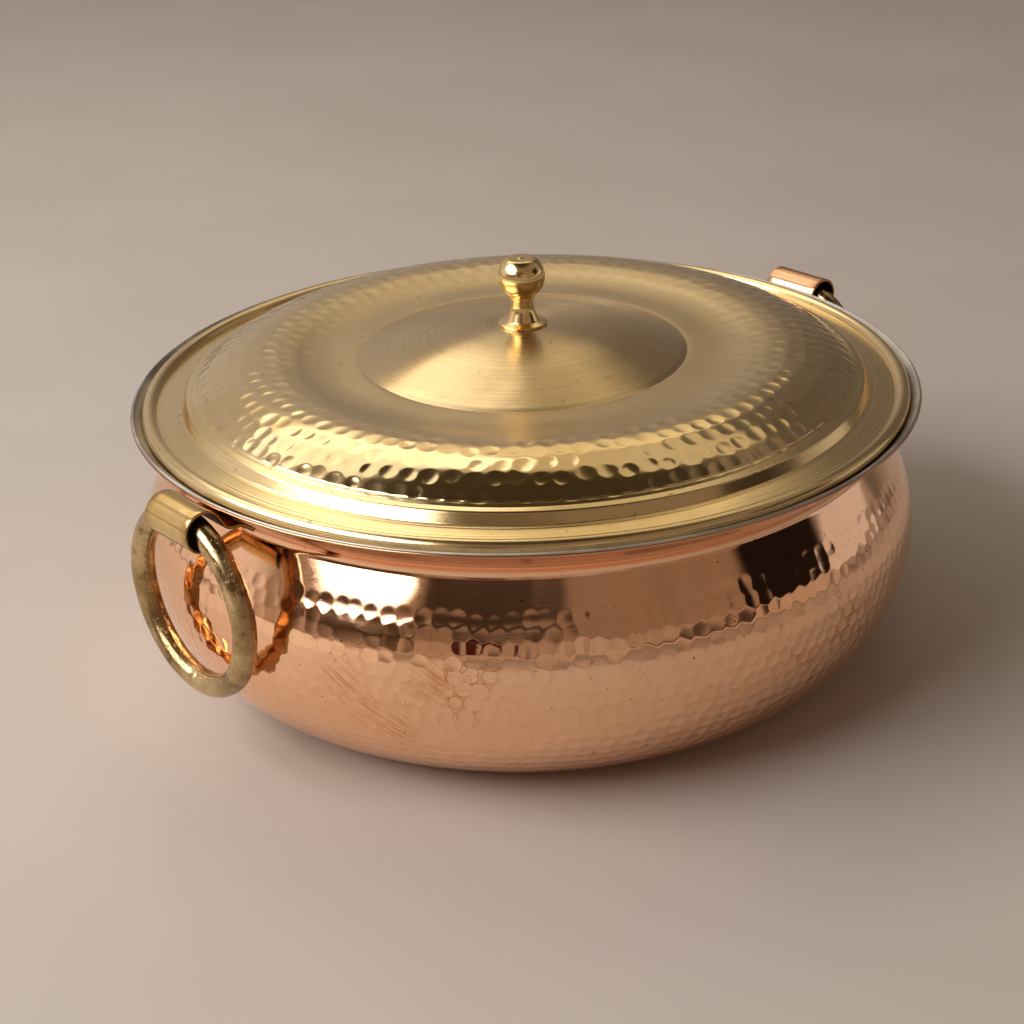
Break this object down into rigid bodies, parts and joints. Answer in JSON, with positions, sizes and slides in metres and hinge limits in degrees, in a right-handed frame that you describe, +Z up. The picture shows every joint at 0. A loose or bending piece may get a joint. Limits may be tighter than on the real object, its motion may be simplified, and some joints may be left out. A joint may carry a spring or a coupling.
{
  "type": "lidded hammered serving bowl",
  "caption": "Hammered copper serving bowl, tinned inside, with a spun brass lid, turned knob and swinging ring handles on rolled straps.",
  "frame": {"origin": "middle of the base, on the surface the bowl stands on", "axes": "+Z up through the knob; the two ring handles lie on +X (right) and -X (left)"},
  "size_m": [0.3518, 0.32, 0.164],
  "materials": {
    "copper": "polished hammered copper",
    "tin": "wiped tin, satin",
    "lid_brass": "polished spun and hammered brass",
    "knob_brass": "polished turned brass",
    "strap_brass": "satin sheet brass",
    "ring_brass": "worn cast brass",
    "rivet_copper": "hammered copper rivet"
  },
  "bodies": {
    "bowl": {"copper_bowl": "copper", "tin_lining": "tin", "handle_strap_left": "strap_brass", "handle_strap_right": "strap_brass", "rivet_left_front": "rivet_copper", "rivet_left_rear": "rivet_copper", "rivet_right_front": "rivet_copper", "rivet_right_rear": "rivet_copper"},
    "ring_left": {"ring_handle_left": "ring_brass"},
    "ring_right": {"ring_handle_right": "ring_brass"},
    "lid": {"lid_shell": "lid_brass", "lid_knob": "knob_brass", "knob_washer": "strap_brass", "knob_screw": "strap_brass"}
  },
  "joints": [
    {"name": "ring_swing_left", "type": "hinge", "parent": "bowl", "child": "ring_left", "pos_m": [-0.16582, 0, 0.10376], "axis": [0, 1, 0], "range_deg": [-3.2, 197]},
    {"name": "ring_swing_right", "type": "hinge", "parent": "bowl", "child": "ring_right", "pos_m": [0.16965, 0, 0.10697], "axis": [0, -1, 0], "range_deg": [-6, 226]},
    {"name": "lid_lift", "type": "slide", "parent": "bowl", "child": "lid", "axis": [0, 0, 1], "range_m": [0, 0.12]}
  ]
}
